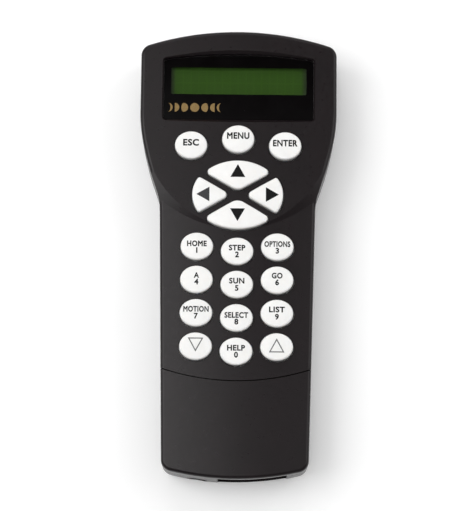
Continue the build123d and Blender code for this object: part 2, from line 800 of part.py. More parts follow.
with BuildPart() as power_pin:
    with BuildSketch(Plane.XZ.offset(-power_floor_y)):
        with Locations((power_socket_x, power_socket_z)):
            Circle(power_pin_radius)
    extrude(amount=power_bore_depth - power_pin_set_back)
    fillet(power_pin.edges().sort_by(Axis.Y)[0], radius=power_pin_radius / 2)
save(power_pin.part, "power_pin")

# ================================================================ electronics on the main board
for name, (x, y, size_x, size_y, height, pins_x, pins_y) in chips.items():
    with BuildPart() as chip:
        with Locations((x, y, board_bottom_z - height / 2)):
            Box(size_x, size_y, height)
        top_edges = chip.faces().sort_by(Axis.Z)[0].edges()
        chamfer(top_edges, length=contact_leaf)
        pin_z = board_bottom_z - chip_pin_height / 2
        if pins_x:
            with Locations((x, y, pin_z)):
                with GridLocations(size_x / (pins_x + 1), size_y + chip_pin_reach, pins_x, 2):
                    Box(chip_pin_width, chip_pin_reach + weld, chip_pin_height)
        if pins_y:
            with Locations((x, y, pin_z)):
                with GridLocations(size_x + chip_pin_reach, size_y / (pins_y + 1), 2, pins_y):
                    Box(chip_pin_reach + weld, chip_pin_width, chip_pin_height)
    save(chip.part, name)

with BuildPart() as voltage_regulator:
    x, y = regulator_centre
    tab_y = y + (regulator_body[1] + regulator_tab[1]) / 2 - weld / 2
    legs_y = y - (regulator_body[1] + regulator_leg[1]) / 2 + weld / 2
    with Locations((x, y, board_bottom_z - regulator_body[2] / 2)):
        Box(*regulator_body)
    with Locations((x, tab_y, board_bottom_z - regulator_tab[2] / 2)):
        Box(*regulator_tab)
    with Locations((x, legs_y, board_bottom_z - regulator_leg[2] / 2)):
        with GridLocations(regulator_leg_pitch, 1, 2, 1):
            Box(*regulator_leg)
save(voltage_regulator.part, "voltage_regulator")

with BuildPart() as capacitors:
    radius, height = capacitor_size
    add(discs(capacitor_points, radius, board_bottom_z - height, board_bottom_z))
    fillet(capacitors.edges().group_by(Axis.Z)[0], radius=contact_leaf)
save(capacitors.part, "capacitors")

radius, height = inductor_size
bobbin_low_z, bobbin_high_z = board_bottom_z - height + inductor_flange, board_bottom_z - inductor_flange
winding_groove = discs([inductor_centre], radius, bobbin_low_z, bobbin_high_z) - discs(
    [inductor_centre], radius - inductor_flange, bobbin_low_z, bobbin_high_z
)
with BuildPart() as power_inductor:
    add(discs([inductor_centre], radius, board_bottom_z - height, board_bottom_z))
    add(winding_groove, mode=Mode.SUBTRACT)
save(power_inductor.part, "power_inductor")

with BuildPart() as crystal:
    with BuildSketch(Plane.XY.offset(board_bottom_z - crystal_size[2])):
        with Locations(crystal_centre):
            SlotOverall(crystal_size[0], crystal_size[1])
    extrude(amount=crystal_size[2])
    fillet(crystal.edges().group_by(Axis.Z)[0], radius=contact_leaf)
save(crystal.part, "crystal")

with BuildPart() as buzzer:
    radius, height = buzzer_size
    add(discs([buzzer_centre], radius, board_bottom_z - height, board_bottom_z))
    add(discs([buzzer_centre], buzzer_hole_radius, 0, board_bottom_z - height / 2), mode=Mode.SUBTRACT)
save(buzzer.part, "buzzer")

with BuildPart() as small_resistors:
    for row_centre in resistor_rows:
        with Locations((*row_centre, board_bottom_z - resistor_size[2] / 2)):
            with GridLocations(1, 2 * resistor_size[1], 1, resistors_in_row):
                Box(*resistor_size)
save(small_resistors.part, "small_resistors")

# ================================================================ ribbon between the boards
with BuildPart() as ribbon_connectors:
    upper_y = ribbon_route[0][0] + connector_size[1] / 2
    lower_y = ribbon_route[-1][0] - connector_size[1] / 2
    with Locations((0, upper_y, display_board_bottom_z - connector_size[2] / 2)):
        Box(*connector_size)
    with Locations((0, lower_y, board_bottom_z - connector_size[2] / 2)):
        Box(*connector_size)
save(ribbon_connectors.part, "ribbon_connectors")

with BuildPart() as display_ribbon:
    with BuildSketch(Plane.YZ):
        with BuildLine():
            FilletPolyline(*ribbon_route, radius=ribbon_bend)
        trace(line_width=ribbon_thickness)
    extrude(amount=ribbon_width / 2, both=True)
save(display_ribbon.part, "display_ribbon")


# ================================================================ screws
def pan_screws(points, shank_radius, head_radius, head_height, seat_z, tip_z):
    """Pan-head screws that point up from a seat, with a cross recess in each head."""
    with BuildPart() as screws:
        add(discs(points, head_radius, seat_z - head_height, seat_z))
        fillet(screws.edges().group_by(Axis.Z)[0], radius=head_height / 2)
        add(discs(points, shank_radius, seat_z, tip_z))
        chamfer(screws.edges().group_by(Axis.Z)[-1], length=shank_radius / 2)
        for x, y in points:
            with Locations((x, y, seat_z - head_height)):
                Box(recess_width, head_radius, head_height, mode=Mode.SUBTRACT)
                Box(head_radius, recess_width, head_height, mode=Mode.SUBTRACT)
    return screws.part


with BuildPart() as case_screws:
    add(
        pan_screws(
            case_screw_points,
            case_screw_radius,
            case_head_radius,
            case_head_height,
            case_head_seat_z,
            case_screw_tip_z,
        )
    )
save(case_screws.part, "case_screws")

for name, points, seat_z in (
    ("board_screws", board_screw_points, board_bottom_z),
    ("display_screws", display_screw_points, display_board_bottom_z),
):
    with BuildPart() as small_screws:
        tip_z = seat_z + small_screw_length
        add(pan_screws(points, small_screw_radius, small_head_radius, small_head_height, seat_z, tip_z))
    save(small_screws.part, name)
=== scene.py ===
import json
import math

import bmesh
import bpy
from mathutils import Matrix, Vector
from mathutils.bvhtree import BVHTree


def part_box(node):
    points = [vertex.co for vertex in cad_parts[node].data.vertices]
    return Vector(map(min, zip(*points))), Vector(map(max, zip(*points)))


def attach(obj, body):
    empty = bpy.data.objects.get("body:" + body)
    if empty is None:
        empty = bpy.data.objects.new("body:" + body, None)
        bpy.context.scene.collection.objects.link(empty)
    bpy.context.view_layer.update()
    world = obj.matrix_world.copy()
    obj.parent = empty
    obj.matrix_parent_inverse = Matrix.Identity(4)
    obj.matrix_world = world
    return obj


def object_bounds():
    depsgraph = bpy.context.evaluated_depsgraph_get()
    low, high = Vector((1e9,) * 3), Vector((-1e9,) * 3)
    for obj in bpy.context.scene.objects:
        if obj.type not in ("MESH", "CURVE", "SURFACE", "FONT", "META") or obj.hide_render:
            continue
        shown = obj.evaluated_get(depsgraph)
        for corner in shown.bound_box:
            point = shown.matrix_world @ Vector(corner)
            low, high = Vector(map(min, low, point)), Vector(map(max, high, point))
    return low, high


# The looks of a wired telescope hand controller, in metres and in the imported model's frame: the
# controller lies on its back, +X is to the right of the keypad, +Y points to the display end and +Z
# out of the face.

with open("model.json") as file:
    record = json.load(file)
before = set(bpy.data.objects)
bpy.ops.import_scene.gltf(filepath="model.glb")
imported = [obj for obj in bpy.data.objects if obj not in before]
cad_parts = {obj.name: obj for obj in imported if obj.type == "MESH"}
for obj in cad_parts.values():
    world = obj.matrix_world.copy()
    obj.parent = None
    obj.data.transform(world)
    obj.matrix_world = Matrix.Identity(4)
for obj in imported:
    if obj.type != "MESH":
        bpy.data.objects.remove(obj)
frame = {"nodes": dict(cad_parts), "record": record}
cad_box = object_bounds()

MM = 0.001
INK_THICKNESS = 0.04 * MM  # half of it stands out of the surface under a printed mark
PRINT_GRID = 0.4  # mm between the cuts that let a printed mark bend
FONT_CAPITAL = 0.682  # height of a capital letter, for a letter size of 1
BOLDNESS = 0.037  # how far each edge of a letter moves out, for a letter size of 1
LETTER_SPACING = 1.10
LETTER_CURVE_STEPS = 4
SHARP_CORNER_REACH = 1.5  # how far a letter's corner may move out, in steps of its edges
OUTLINE_WELD = 1e-4  # points of a flat mark closer than this become one


# ---------------------------------------------------------------- small helpers
def corners(node):
    """A CAD node's lowest and highest corner."""
    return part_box(node)


def middle(node):
    """The middle of a CAD node's box."""
    low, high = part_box(node)
    return (low + high) / 2


class Nodes:
    """A material's node tree, with short calls for the nodes that these materials share."""

    def __init__(self, name):
        self.material = bpy.data.materials.new(name)
        self.material.use_nodes = True
        self.tree = self.material.node_tree
        self.shader = self.tree.nodes["Principled BSDF"]

    def add(self, kind, **values):
        """A node of that kind with its named inputs set."""
        node = self.tree.nodes.new(kind)
        for key, value in values.items():
            node.inputs[key.replace("_", " ")].default_value = value
        return node

    def link(self, source, target):
        self.tree.links.new(source, target)

    def place(self):
        """The point on the surface, in the model's own frame."""
        return self.add("ShaderNodeTexCoord").outputs["Object"]

    def noise(self, size, detail=3.0, roughness=0.55):
        """Noise whose blotches are about that size."""
        node = self.add("ShaderNodeTexNoise", Scale=1 / size, Detail=detail, Roughness=roughness)
        self.link(self.place(), node.inputs["Vector"])
        return node.outputs["Fac"]

    def grain(self, size):
        """Small pits and bumps of about that size, as a moulding tool leaves them."""
        node = self.add("ShaderNodeTexVoronoi", Scale=1 / size)
        node.feature = "SMOOTH_F1"
        self.link(self.place(), node.inputs["Vector"])
        return node.outputs["Distance"]

    def span(self, value, low, high, from_low=0.3, from_high=0.7):
        """A value stretched from one range to another."""
        node = self.tree.nodes.new("ShaderNodeMapRange")
        node.inputs["From Min"].default_value = from_low
        node.inputs["From Max"].default_value = from_high
        node.inputs["To Min"].default_value = low
        node.inputs["To Max"].default_value = high
        self.link(value, node.inputs["Value"])
        return node.outputs["Result"]

    def calculate(self, operation, first, second=0.0):
        """One sum on two values, each a number or another node's output."""
        node = self.tree.nodes.new("ShaderNodeMath")
        node.operation = operation
        for socket, value in zip(node.inputs, (first, second)):
            if isinstance(value, float):
                socket.default_value = value
            else:
                self.link(value, socket)
        return node.outputs["Value"]

    def blend(self, value, first, second):
        """A colour between two, by a value from 0 to 1."""
        node = self.tree.nodes.new("ShaderNodeMix")
        node.data_type = "RGBA"
        node.inputs["A"].default_value = (*first, 1)
        node.inputs["B"].default_value = (*second, 1)
        self.link(value, node.inputs["Factor"])
        return node.outputs["Result"]

    def colour(self, socket):
        self.link(socket, self.shader.inputs["Base Color"])

    def rough(self, socket):
        self.link(socket, self.shader.inputs["Roughness"])

    def bump(self, *layers):
        """Bumps on the surface, each layer a (height, depth in metres) pair."""
        normal = None
        for height, depth in layers:
            node = self.add("ShaderNodeBump", Strength=1.0, Distance=depth)
            self.link(height, node.inputs["Height"])
            if normal is not None:
                self.link(normal, node.inputs["Normal"])
            normal = node.outputs["Normal"]
        self.link(normal, self.shader.inputs["Normal"])


def scaled(colour, factor):
    """A colour made lighter or darker."""
    return tuple(channel * factor for channel in colour)


# ---------------------------------------------------------------- materials
def case_plastic():
    """Charcoal ABS with a fine spark-eroded grain, a little uneven in tone and gloss."""
    n = Nodes("case_plastic")
    tone = (0.0054, 0.0026, 0.0034)
    n.colour(n.blend(n.span(n.noise(9 * MM, 4), 0, 1), scaled(tone, 0.85), scaled(tone, 1.15)))
    n.rough(n.span(n.noise(1.6 * MM, 3), 0.27, 0.35))
    n.bump((n.grain(0.34 * MM), 0.009 * MM), (n.noise(0.12 * MM, 2), 0.004 * MM))
    n.shader.inputs["Specular IOR Level"].default_value = 0.28
    return n.material


def key_silicone():
    """White silicone with a satin skin, a soft glow at its edges and faint handling marks."""
    n = Nodes("key_silicone")
    shade = n.span(n.noise(3.5 * MM, 3), 0, 1)
    n.colour(n.blend(shade, (0.83, 0.825, 0.81), (0.87, 0.865, 0.85)))
    n.rough(n.span(n.noise(0.9 * MM, 3), 0.36, 0.50))
    n.bump((n.noise(0.22 * MM, 3), 0.004 * MM))
    n.shader.inputs["Subsurface Weight"].default_value = 0.18
    n.shader.inputs["Subsurface Radius"].default_value = (1.0, 0.9, 0.8)
    n.shader.inputs["Subsurface Scale"].default_value = 0.6 * MM
    return n.material


def legend_ink(name, colour):
    """Thin pad-printed ink, slightly uneven where it took less well."""
    n = Nodes(name)
    n.colour(n.blend(n.span(n.noise(0.25 * MM, 3), 0, 1), colour, scaled(colour, 1.6)))
    n.rough(n.span(n.noise(0.3 * MM, 2), 0.55, 0.70))
    n.shader.inputs["Specular IOR Level"].default_value = 0.15
    return n.material


def clear_lens():
    """Clear acrylic with a faint grey tint. The print right behind it carries the gloss."""
    n = Nodes("clear_lens")
    shade = n.span(n.noise(6 * MM, 3), 0, 1)
    n.colour(n.blend(shade, (0.010, 0.010, 0.011), (0.020, 0.020, 0.021)))
    n.shader.inputs["Alpha"].default_value = 0.07
    n.shader.inputs["Roughness"].default_value = 0.1
    n.shader.inputs["Specular IOR Level"].default_value = 0.0
    return n.material


def lens_black():
    """The opaque black print behind the lens, as glossy as the lens's face in front of it."""
    n = Nodes("lens_black")
    shade = n.span(n.noise(2 * MM, 3), 0, 1)
    n.colour(n.blend(shade, (0.0009, 0.0005, 0.0006), (0.0015, 0.0009, 0.0010)))
    n.rough(n.span(n.noise(6 * MM, 2), 0.05, 0.09))
    n.shader.inputs["Specular IOR Level"].default_value = 0.13
    return n.material


def gold_ink():
    """Bronze-gold ink with a fine metallic fleck."""
    n = Nodes("gold_ink")
    fleck = n.span(n.noise(0.16 * MM, 3), 0, 1)
    n.colour(n.blend(fleck, (0.17, 0.105, 0.030), (0.33, 0.21, 0.068)))
    n.rough(n.span(n.noise(0.3 * MM, 2), 0.40, 0.60))
    n.shader.inputs["Metallic"].default_value = 0.25
    return n.material


def display_green():
    """An unlit green character display: two faint lines of dot cells, greyer and darker towards both
    ends, partly the bare glass past the cells and partly painted shade from the window's edges.
    """
    n = Nodes("display_green")
    centre = middle("lcd_glass")
    split = n.tree.nodes.new("ShaderNodeSeparateXYZ")
    n.link(n.place(), split.inputs["Vector"])

    def repeats(axis, start, pitch, share):
        """1 inside the squares that repeat along an axis, and 0 in the gaps between them."""
        along = n.calculate("DIVIDE", n.calculate("SUBTRACT", split.outputs[axis], start), pitch)
        return n.calculate("LESS_THAN", n.calculate("FRACT", along), share)

    cell_width, cell_height = 3.05 * MM, 4.7 * MM
    dots_across, dots_down, dot_share = 5, 8, 0.84
    half_line = 8 * cell_width
    start_x, start_y = centre.x - half_line, centre.y - cell_height
    cells = n.calculate(
        "MULTIPLY",
        repeats("X", start_x, cell_width, 0.86),
        repeats("Y", start_y, cell_height, 0.88),
    )
    dots = n.calculate(
        "MULTIPLY",
        repeats("X", start_x, cell_width / dots_across, dot_share),
        repeats("Y", start_y, cell_height / dots_down, dot_share),
    )
    green = (0.026, 0.076, 0.0028)
    face = n.blend(n.calculate("MULTIPLY", cells, dots), green, scaled(green, 0.86))
    # past the last cells the green goes grey and darker: the bare glass there, with painted shade from
    # the window's edges
    away = n.calculate("ABSOLUTE", n.calculate("SUBTRACT", split.outputs["X"], centre.x))
    bare_end_and_shade = n.tree.nodes.new("ShaderNodeMix")
    bare_end_and_shade.data_type = "RGBA"
    end_shade_mask = n.span(away, 0, 1, half_line, half_line + 1.6 * MM)
    n.link(end_shade_mask, bare_end_and_shade.inputs["Factor"])
    n.link(face, bare_end_and_shade.inputs["A"])
    # grey-green of the bare glass, darkened further as painted shade
    bare_end_and_shade.inputs["B"].default_value = (0.022, 0.038, 0.012, 1)
    n.colour(bare_end_and_shade.outputs["Result"])
    n.rough(n.span(n.noise(1.5 * MM, 2), 0.30, 0.42))
    n.shader.inputs["Specular IOR Level"].default_value = 0.15
    return n.material


def moulded_black(name, tone, gloss):
    """Black engineering plastic for sockets, chips and the like."""
    n = Nodes(name)
    n.colour(n.blend(n.span(n.noise(2.5 * MM, 3), 0, 1), scaled(tone, 0.8), scaled(tone, 1.25)))
    n.rough(n.span(n.noise(0.8 * MM, 3), gloss - 0.07, gloss + 0.07))
    n.bump((n.noise(0.12 * MM, 2), 0.004 * MM))
    return n.material


def metal(name, tone, gloss, streak=(1, 1, 1)):
    """Plated or drawn metal with fine directional marks."""
    n = Nodes(name)
    stretch = n.tree.nodes.new("ShaderNodeMapping")
    stretch.inputs["Scale"].default_value = streak
    n.link(n.place(), stretch.inputs["Vector"])
    marks = n.add("ShaderNodeTexNoise", Scale=2500, Detail=3)
    n.link(stretch.outputs["Vector"], marks.inputs["Vector"])
    n.colour(n.blend(n.span(marks.outputs["Fac"], 0, 1), scaled(tone, 0.82), scaled(tone, 1.08)))
    n.rough(n.span(marks.outputs["Fac"], gloss - 0.06, gloss + 0.10))
    n.bump((marks.outputs["Fac"], 0.002 * MM))
    n.shader.inputs["Metallic"].default_value = 1.0
    return n.material


def circuit_board():
    """Green solder mask over woven glass, with copper tracks showing faintly through it."""
    n = Nodes("circuit_board")
    tracks = n.add("ShaderNodeTexBrick", Scale=260.0, Mortar_Size=0.03)
    n.link(n.place(), tracks.inputs["Vector"])
    weave = n.add("ShaderNodeTexWave", Scale=700.0, Distortion=0.4)
    n.link(n.place(), weave.inputs["Vector"])
    n.colour(n.blend(tracks.outputs["Fac"], (0.008, 0.085, 0.032), (0.016, 0.150, 0.055)))
    n.rough(n.span(weave.outputs["Fac"], 0.28, 0.40, 0, 1))
    n.bump((weave.outputs["Fac"], 0.004 * MM), (tracks.outputs["Fac"], 0.02 * MM))
    return n.material


def soft_clear(name, tone):
    """Milky translucent rubber or resin."""
    n = Nodes(name)
    n.colour(n.blend(n.span(n.noise(2 * MM, 3), 0, 1), scaled(tone, 0.92), tone))
    n.rough(n.span(n.noise(0.6 * MM, 2), 0.35, 0.5))
    n.bump((n.noise(0.3 * MM, 2), 0.004 * MM))
    n.shader.inputs["Subsurface Weight"].default_value = 0.3
    n.shader.inputs["Subsurface Scale"].default_value = 0.8 * MM
    return n.material


def label_film():
    """Silver polyester film with a brushed face."""
    n = Nodes("label_film")
    stretch = n.tree.nodes.new("ShaderNodeMapping")
    stretch.inputs["Scale"].default_value = (0.06, 1.0, 1.0)
    n.link(n.place(), stretch.inputs["Vector"])
    brushed = n.add("ShaderNodeTexNoise", Scale=3000, Detail=2)
    n.link(stretch.outputs["Vector"], brushed.inputs["Vector"])
    n.colour(n.blend(n.span(brushed.outputs["Fac"], 0, 1), (0.36, 0.37, 0.38), (0.52, 0.53, 0.54)))
    n.rough(n.span(brushed.outputs["Fac"], 0.34, 0.48))
    n.shader.inputs["Metallic"].default_value = 0.6
    return n.material


def floor_paper():
    """Pale seamless paper, lit a little from below as on a light table."""
    n = Nodes("floor_paper")
    n.colour(n.blend(n.span(n.noise(40 * MM, 3), 0, 1), (0.92, 0.92, 0.92), (0.94, 0.94, 0.94)))
    n.shader.inputs["Emission Color"].default_value = (1, 1, 1, 1)
    n.shader.inputs["Emission Strength"].default_value = 0.12
    n.shader.inputs["Roughness"].default_value = 0.9
    n.shader.inputs["Specular IOR Level"].default_value = 0.1
    return n.material


def dress_cad_nodes():
    """Gives every CAD node the material of its slot in the record."""
    finishes = {
        "case_plastic": case_plastic(),
        "key_silicone": key_silicone(),
        "clear_silicone": soft_clear("clear_silicone", (0.72, 0.74, 0.72)),
        "smoked_lens": clear_lens(),
        "green_display": display_green(),
        "light_guide": soft_clear("light_guide", (0.62, 0.72, 0.30)),
        "black_sheet_metal": moulded_black("black_sheet_metal", (0.006, 0.006, 0.006), 0.45),
        "circuit_board": circuit_board(),
        "ribbon_film": moulded_black("ribbon_film", (0.50, 0.24, 0.05), 0.35),
        "black_plastic": moulded_black("black_plastic", (0.010, 0.010, 0.011), 0.40),
        "chip_plastic": moulded_black("chip_plastic", (0.016, 0.016, 0.017), 0.55),
        "gold_contact": metal("gold_contact", (0.83, 0.60, 0.24), 0.24),
        "plated_steel": metal("plated_steel", (0.60, 0.61, 0.63), 0.28, (1, 1, 0.1)),
        "aluminium_can": metal("aluminium_can", (0.74, 0.75, 0.77), 0.32, (1, 1, 0.1)),
        "ferrite": moulded_black("ferrite", (0.050, 0.048, 0.046), 0.60),
        "red_lamp": soft_clear("red_lamp", (0.60, 0.05, 0.03)),
        "label_film": label_film(),
    }
    for part in frame["record"]["subparts"]:
        obj = frame["nodes"][part["node"]]
        obj.data.materials.clear()
        obj.data.materials.append(finishes[part["material_slot"]])


# ---------------------------------------------------------------- printed marks
def on_body(obj, body, material):
    """Finishes a piece: its material and the body that it rides on."""
    obj.data.materials.clear()
    obj.data.materials.append(material)
    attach(obj, body)
    return obj


def as_mesh(name, data):
    """A filled curve or text, one unit thick, turned into one closed mesh."""
    source = bpy.data.objects.new(name, data)
    bpy.context.scene.collection.objects.link(source)
    bpy.context.view_layer.update()
    evaluated = source.evaluated_get(bpy.context.evaluated_depsgraph_get())
    mesh = bpy.data.meshes.new_from_object(evaluated)
    bpy.data.objects.remove(source)
    mesh.name = name
    bm = bmesh.new()
    bm.from_mesh(mesh)
    bmesh.ops.remove_doubles(bm, verts=bm.verts, dist=OUTLINE_WELD)
    bmesh.ops.dissolve_degenerate(bm, dist=OUTLINE_WELD / 10, edges=bm.edges)
    bm.to_mesh(mesh)
    bm.free()
    obj = bpy.data.objects.new(name, mesh)
    bpy.context.scene.collection.objects.link(obj)
    return obj


def plate(name, loops):
    """A thin plate in the XY plane from loops in millimetres, the inner ones as holes."""
    curve = bpy.data.curves.new(name, "CURVE")
    curve.dimensions = "2D"
    curve.fill_mode = "BOTH"
    curve.extrude = 0.5
    for loop in loops:
        spline = curve.splines.new("POLY")
        spline.points.add(len(loop) - 1)
        for point, (x, y) in zip(spline.points, loop):
            point.co = (x, y, 0, 1)
        spline.use_cyclic_u = True
    return as_mesh(name, curve)


def embolden(mesh, amount):
    """Moves the side walls of a flat mark outwards, and a sharp corner not much further than they go."""
    bm = bmesh.new()
    bm.from_mesh(mesh)
    moves = []
    for v in bm.verts:
        walls = [f.normal for f in v.link_faces if abs(f.normal.z) < 0.5]
        outward = sum(walls, Vector()).normalized()
        reach = 1 / max(outward.dot(walls[0]), 0.1)
        moves.append(outward * amount * min(reach, SHARP_CORNER_REACH))
    for v, move in zip(bm.verts, moves):
        v.co += move
    bm.to_mesh(mesh)
    bm.free()


def lettering(name, text, height, width=None):
    """Bold sans capitals or a digit, of that height and, if given, width, in millimetres, centred."""
    data = bpy.data.curves.new(name, "FONT")
    data.body = text
    data.extrude = 0.5
    data.resolution_u = LETTER_CURVE_STEPS
    data.space_character = LETTER_SPACING
    obj = as_mesh(name, data)
    embolden(obj.data, BOLDNESS)
    xs = [v.co.x for v in obj.data.vertices]
    low_x, high_x = min(xs), max(xs)
    stretch_y = height / (FONT_CAPITAL + 2 * BOLDNESS)
    stretch_x = width / (high_x - low_x) if width else stretch_y
    shift = Matrix.Translation((-(low_x + high_x) / 2, -FONT_CAPITAL / 2, 0))
    obj.data.transform(Matrix.Diagonal((stretch_x, stretch_y, 1, 1)) @ shift)
    return obj


def dice(mesh):
    """Cuts a mesh along a grid in X and Y, so that it can follow a curved surface."""
    bm = bmesh.new()
    bm.from_mesh(mesh)
    for axis in (0, 1):
        values = [v.co[axis] for v in bm.verts]
        normal = Vector((axis == 0, axis == 1, 0))
        first = math.ceil(min(values) / PRINT_GRID)
        last = math.floor(max(values) / PRINT_GRID)
        for step in range(first, last + 1):
            geometry = bm.verts[:] + bm.edges[:] + bm.faces[:]
            cut = normal * step * PRINT_GRID
            bmesh.ops.bisect_plane(bm, geom=geometry, plane_co=cut, plane_no=normal)
    bm.to_mesh(mesh)
    bm.free()


def surface_of(node):
    """A CAD node's mesh, ready to be asked where its top surface is."""
    mesh = frame["nodes"][node].data
    return BVHTree.FromPolygons([v.co for v in mesh.vertices], [p.vertices for p in mesh.polygons])


def print_on(obj, x, y, node):
    """Moves a mark in millimetres to x, y in metres, and lays it on a CAD node's top surface."""
    dice(obj.data)
    surface = surface_of(node)
    above = corners(node)[1].z + 1 * MM
    for v in obj.data.vertices:
        spot_x, spot_y = x + v.co.x * MM, y + v.co.y * MM
        hit = surface.ray_cast(Vector((spot_x, spot_y, above)), Vector((0, 0, -1)))[0]
        v.co = (spot_x, spot_y, hit.z + v.co.z * INK_THICKNESS)


def triangle_loops(width, height, line=None):
    """A triangle that points to +Y, solid or drawn as an outline of that line width."""
    outer = [(-width / 2, -height / 2), (width / 2, -height / 2), (0, height / 2)]
    if line is None:
        return [outer]
    inradius = width * height / (width + 2 * math.hypot(width / 2, height))
    share = 1 - line / inradius
    centre_y = -height / 2 + inradius
    return [outer, [(x * share, centre_y + (y - centre_y) * share) for x, y in outer]]


def turned(loops, angle):
    """Loops turned about the origin, in degrees."""
    c, s = math.cos(math.radians(angle)), math.sin(math.radians(angle))
    return [[(x * c - y * s, x * s + y * c) for x, y in loop] for loop in loops]


def key_body(key):
    """The body that a key's node rides on."""
    return key.removesuffix("_key") + "_button"


def print_key_words(ink):
    """Plain function words and digits: each line's text, height, width and offset in millimetres."""
    words = {
        "esc_key": [("ESC", 2.6, 6.1, 0.9)],
        "menu_key": [("MENU", 2.6, 8.6, 1.2)],
        "enter_key": [("ENTER", 2.6, 9.4, 0.95)],
        "number_1_key": [("HOME", 2.2, 7.5, 0.95), ("1", 2.2, None, -1.65)],
        "number_2_key": [("STEP", 2.2, 6.3, 1.25), ("2", 2.2, None, -1.4)],
        "number_3_key": [("OPTIONS", 2.2, 9.9, 1.0), ("3", 2.2, None, -1.6)],
        "number_4_key": [("A", 2.2, 2.0, 1.5), ("4", 2.2, None, -1.0)],
        "number_5_key": [("SUN", 2.2, 5.8, 1.3), ("5", 2.2, None, -1.5)],
        "number_6_key": [("GO", 2.2, 4.1, 1.6), ("6", 2.2, None, -1.0)],
        "number_7_key": [("MOTION", 2.2, 9.6, 1.35), ("7", 2.2, None, -1.3)],
        "number_8_key": [("SELECT", 2.2, 9.0, 0.95), ("8", 2.2, None, -1.6)],
        "number_9_key": [("LIST", 2.2, 6.0, 1.4), ("9", 2.2, None, -1.4)],
        "number_0_key": [("HELP", 2.2, 6.8, 1.25), ("0", 2.2, None, -1.4)],
    }
    for key, lines in words.items():
        centre = middle(key)
        for row, (text, height, width, offset) in enumerate(lines):
            name = f"{key.removesuffix('_key')}_legend_{row + 1}"
            mark = lettering(name, text, height, width)
            print_on(mark, centre.x, centre.y + offset * MM, key)
            on_body(mark, key_body(key), ink)


def print_arrows(ink, faded_ink, outline_ink):
    """Solid triangles on the arrow keys, and triangles in outline on the two scroll keys."""
    pad = (middle("up_arrow_key") + middle("down_arrow_key")) / 2
    arrow_width, arrow_height = 5.7, 5.0
    scroll_width, scroll_height, scroll_line, scroll_lift = 5.9, 5.4, 0.42, 0.5
    for key, reach, angle in (
        ("up_arrow_key", 9.3, 0),
        ("down_arrow_key", 8.0, 180),
        ("right_arrow_key", 13.3, -90),
        ("left_arrow_key", 13.3, 90),
    ):
        toward = Vector((-math.sin(math.radians(angle)), math.cos(math.radians(angle)), 0))
        arrow = turned(triangle_loops(arrow_width, arrow_height), angle)
        mark = plate(f"{key.removesuffix('_key')}_mark", arrow)
        spot = pad + toward * reach * MM
        print_on(mark, spot.x, spot.y, key)
        on_body(mark, key_body(key), faded_ink if key == "left_arrow_key" else ink)
    for key, angle in (("scroll_down_key", 180), ("scroll_up_key", 0)):
        centre = middle(key)
        outline = turned(triangle_loops(scroll_width, scroll_height, scroll_line), angle)
        mark = plate(f"{key.removesuffix('_key')}_mark", outline)
        print_on(mark, centre.x, centre.y + scroll_lift * MM, key)
        on_body(mark, key_body(key), outline_ink)


# ---------------------------------------------------------------- prints behind the lens
def ellipse_loop(x, y, half_width, half_height, first, last, steps=32):
    """Points along an ellipse's arc, in degrees from +X."""
    angles = [math.radians(first + (last - first) * i / steps) for i in range(steps + 1)]
    return [(x + half_width * math.cos(a), y + half_height * math.sin(a)) for a in angles]


def rounded_loop(corner_points):
    """An anticlockwise convex loop in millimetres from (x, y, corner radius) triples."""
    loop = []
    for index, (x, y, radius) in enumerate(corner_points):
        if radius == 0:
            loop.append((x, y))
            continue
        corner = Vector((x, y))
        before = (Vector(corner_points[index - 1][:2]) - corner).normalized()
        after = (Vector(corner_points[(index + 1) % len(corner_points)][:2]) - corner).normalized()
        half_angle = before.angle(after) / 2
        centre = corner + (before + after).normalized() * radius / math.sin(half_angle)
        arm = corner + before * radius / math.tan(half_angle) - centre
        first = math.degrees(math.atan2(arm.y, arm.x))
        last = first + 180 - 2 * math.degrees(half_angle)
        loop += ellipse_loop(centre.x, centre.y, radius, radius, first, last, 6)
    return loop


def behind_lens(obj, z):
    """Lays a mark in millimetres flat at a height in metres."""
    obj.data.transform(Matrix.Translation((0, 0, z)) @ Matrix.Diagonal((MM, MM, INK_THICKNESS, 1)))


def lens_print(black):
    """The black print on the back of the lens, open in front of the display."""
    low, high = (corner / MM for corner in corners("display_lens"))
    margin, arch_rise, corner_radius = 0.12, 2.2, 1.0
    half_width = high.x - margin
    peak = high.y - margin
    arch_radius = (half_width**2 + arch_rise**2) / (2 * arch_rise)
    half_turn = math.degrees(math.asin(half_width / arch_radius))
    arch_centre = peak - arch_radius
    arch = ellipse_loop(0, arch_centre, arch_radius, arch_radius, 90 - half_turn, 90 + half_turn)
    # the arch's points next to its ends give way to the rounded corners there
    outline = rounded_loop(
        [(-half_width, low.y + margin, corner_radius), (half_width, low.y + margin, corner_radius)]
        + [(*arch[0], corner_radius)]
        + [(x, y, 0) for x, y in arch[2:-2]]
        + [(*arch[-1], corner_radius)]
    )
    half_window, half_height, window_corner = 26.3, 5.35, 0.5
    glass = middle("lcd_glass") / MM
    window = rounded_loop(
        [
            (glass.x - half_window, glass.y - half_height, window_corner),
            (glass.x + half_window, glass.y - half_height, window_corner),
            (glass.x + half_window, glass.y + half_height, window_corner),
            (glass.x - half_window, glass.y + half_height, window_corner),
        ]
    )
    sheet = plate("lens_print", [outline, window])
    behind_lens(sheet, low.z * MM + INK_THICKNESS)
    on_body(sheet, "case", black)


def moon_loop(x, y, radius, side, edge_of_light):
    """A phase of the moon, lit on one side as far as an elliptical edge: -1 is full and 0 is half."""
    rim = ellipse_loop(x, y, side * radius, radius, -90, 90)
    inner = ellipse_loop(x, y, side * radius * edge_of_light, radius, 90, -90)
    return rim + inner[1:-1]


